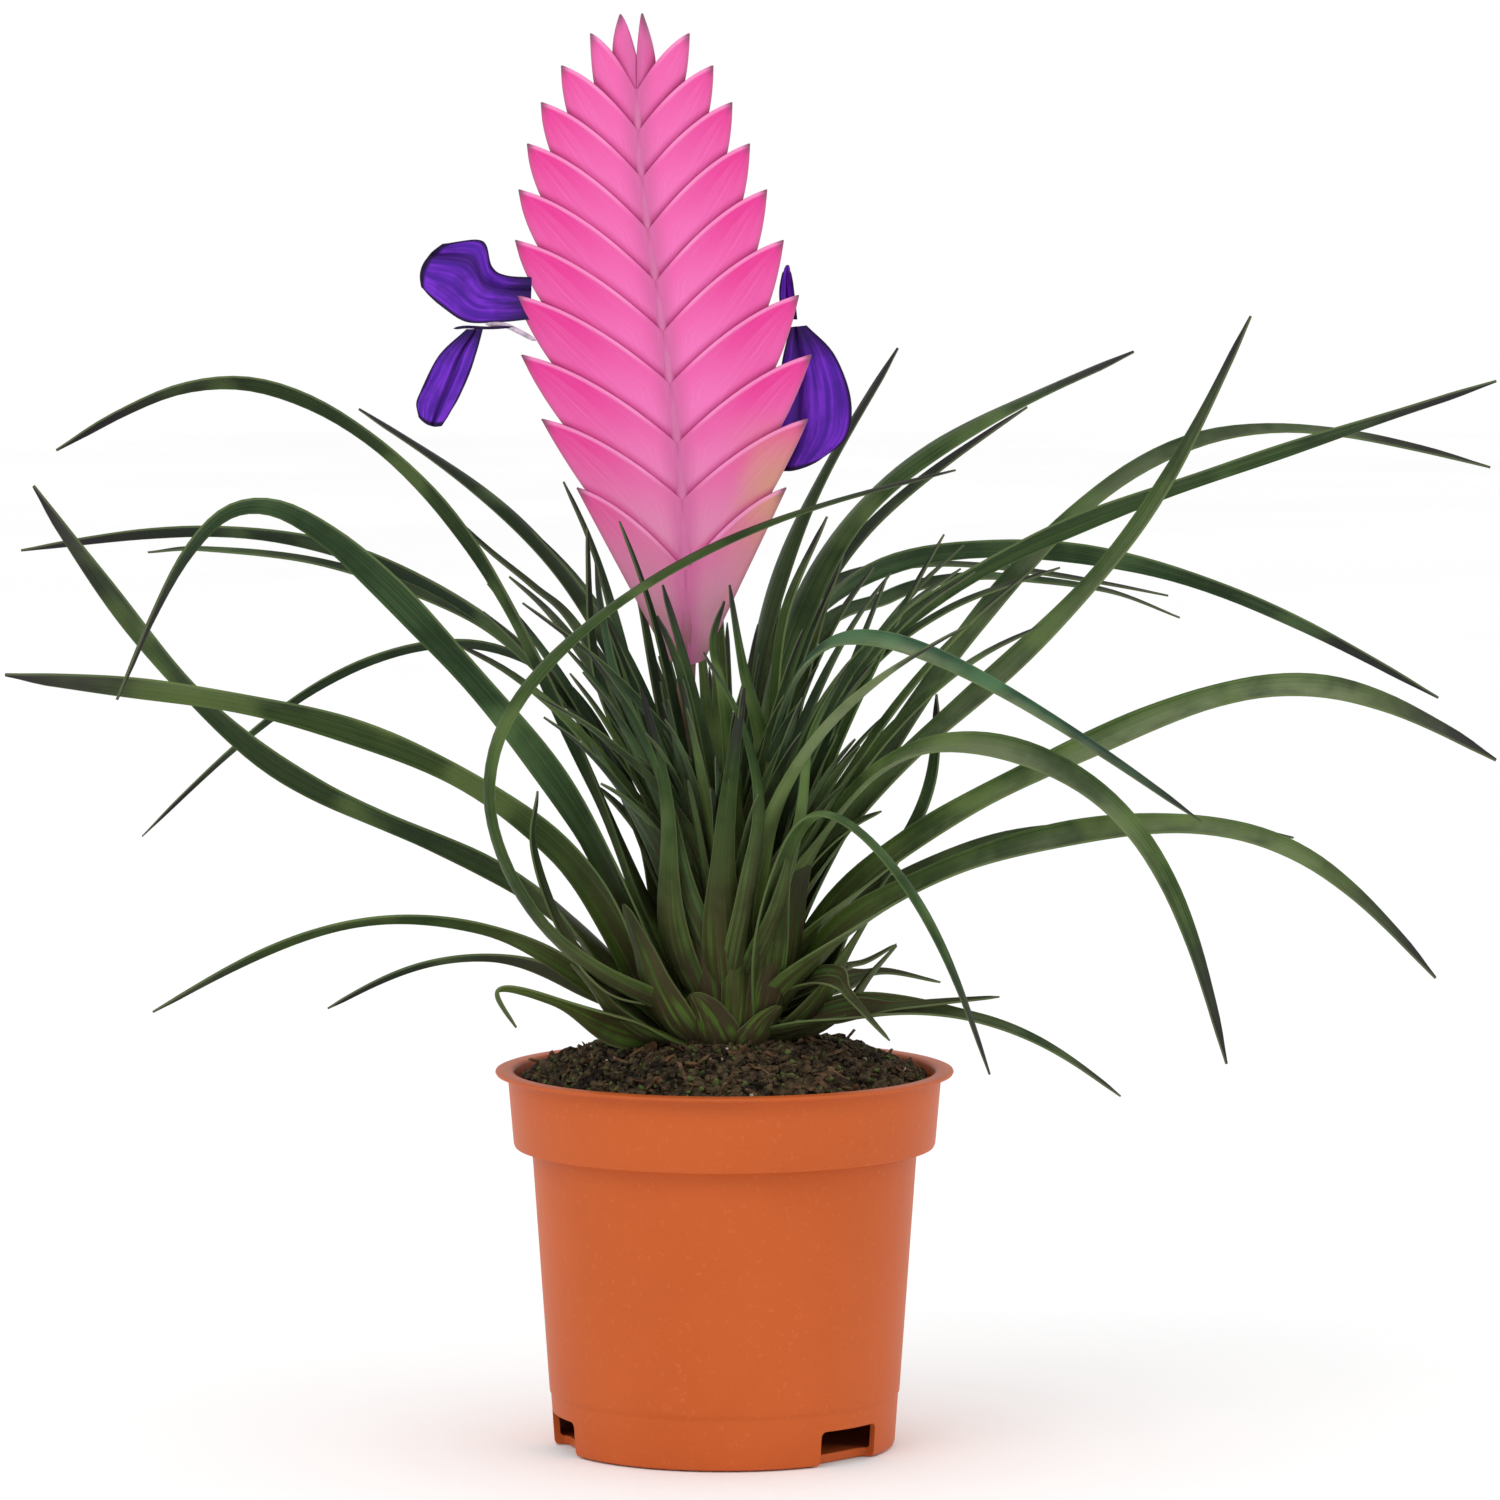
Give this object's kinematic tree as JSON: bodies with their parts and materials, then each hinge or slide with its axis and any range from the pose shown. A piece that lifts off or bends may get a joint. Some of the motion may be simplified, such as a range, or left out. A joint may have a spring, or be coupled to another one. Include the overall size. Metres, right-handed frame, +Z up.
{
  "type": "potted flat-spiked bromeliad",
  "caption": "Small flowering bromeliad with a flat pink bract spike, violet flowers and arching narrow leaves, growing in a round plastic nursery pot.",
  "frame": {"origin": "centre of the pot's flat underside, on its axis", "axes": "+Z up along the pot's axis; the flat flower spike shows its broad side towards -Y, and +X is to the viewer's right"},
  "size_m": [0.2984, 0.1752, 0.281],
  "materials": {
    "pot": "satin moulded terracotta-coloured plastic",
    "soil": "loose granular peat with mossy flecks",
    "crown": "fibrous brown rootstock",
    "stalk": "smooth pinkish brown stem",
    "leaf": "smooth waxy green, brown striped at the sheath",
    "bract": "smooth satin pink",
    "petal": "soft velvety violet"
  },
  "bodies": {
    "root": {"bract_left_1": "bract", "bract_left_10": "bract", "bract_left_2": "bract", "bract_left_3": "bract", "bract_left_4": "bract", "bract_left_5": "bract", "bract_left_6": "bract", "bract_left_7": "bract", "bract_left_8": "bract", "bract_left_9": "bract", "bract_right_1": "bract", "bract_right_10": "bract", "bract_right_2": "bract", "bract_right_3": "bract", "bract_right_4": "bract", "bract_right_5": "bract", "bract_right_6": "bract", "bract_right_7": "bract", "bract_right_8": "bract", "bract_right_9": "bract", "bract_top": "bract", "crown": "crown", "flower_stalk": "stalk", "leaf_front_left_curl": "leaf", "leaf_front_left_sheath": "leaf", "leaf_front_sheath": "leaf", "leaf_front_thin_arch": "leaf", "leaf_left_broad_arch": "leaf", "leaf_left_broad_low": "leaf", "leaf_left_high_arch": "leaf", "leaf_left_hooked": "leaf", "leaf_left_low_arch": "leaf", "leaf_left_low_rear": "leaf", "leaf_left_rear_drooping": "leaf", "leaf_left_rear_long": "leaf", "leaf_left_rear_rising": "leaf", "leaf_left_steep": "leaf", "leaf_rear_dark_thin": "leaf", "leaf_rear_low_thin": "leaf", "leaf_rear_upright": "leaf", "leaf_right_blue": "leaf", "leaf_right_broad": "leaf", "leaf_right_broad_low": "leaf", "leaf_right_dark_arch": "leaf", "leaf_right_front_droop": "leaf", "leaf_right_inner_front": "leaf", "leaf_right_low": "leaf", "leaf_right_rear_arch": "leaf", "leaf_right_rear_high": "leaf", "leaf_right_rear_rising": "leaf", "leaf_right_short": "leaf", "leaf_right_straight": "leaf", "petal_left_lower": "petal", "petal_left_rear": "petal", "petal_left_upper": "petal", "petal_right_front": "petal", "petal_right_lower": "petal", "petal_right_rear": "petal", "pot": "pot", "soil": "soil"}
  },
  "joints": []
}
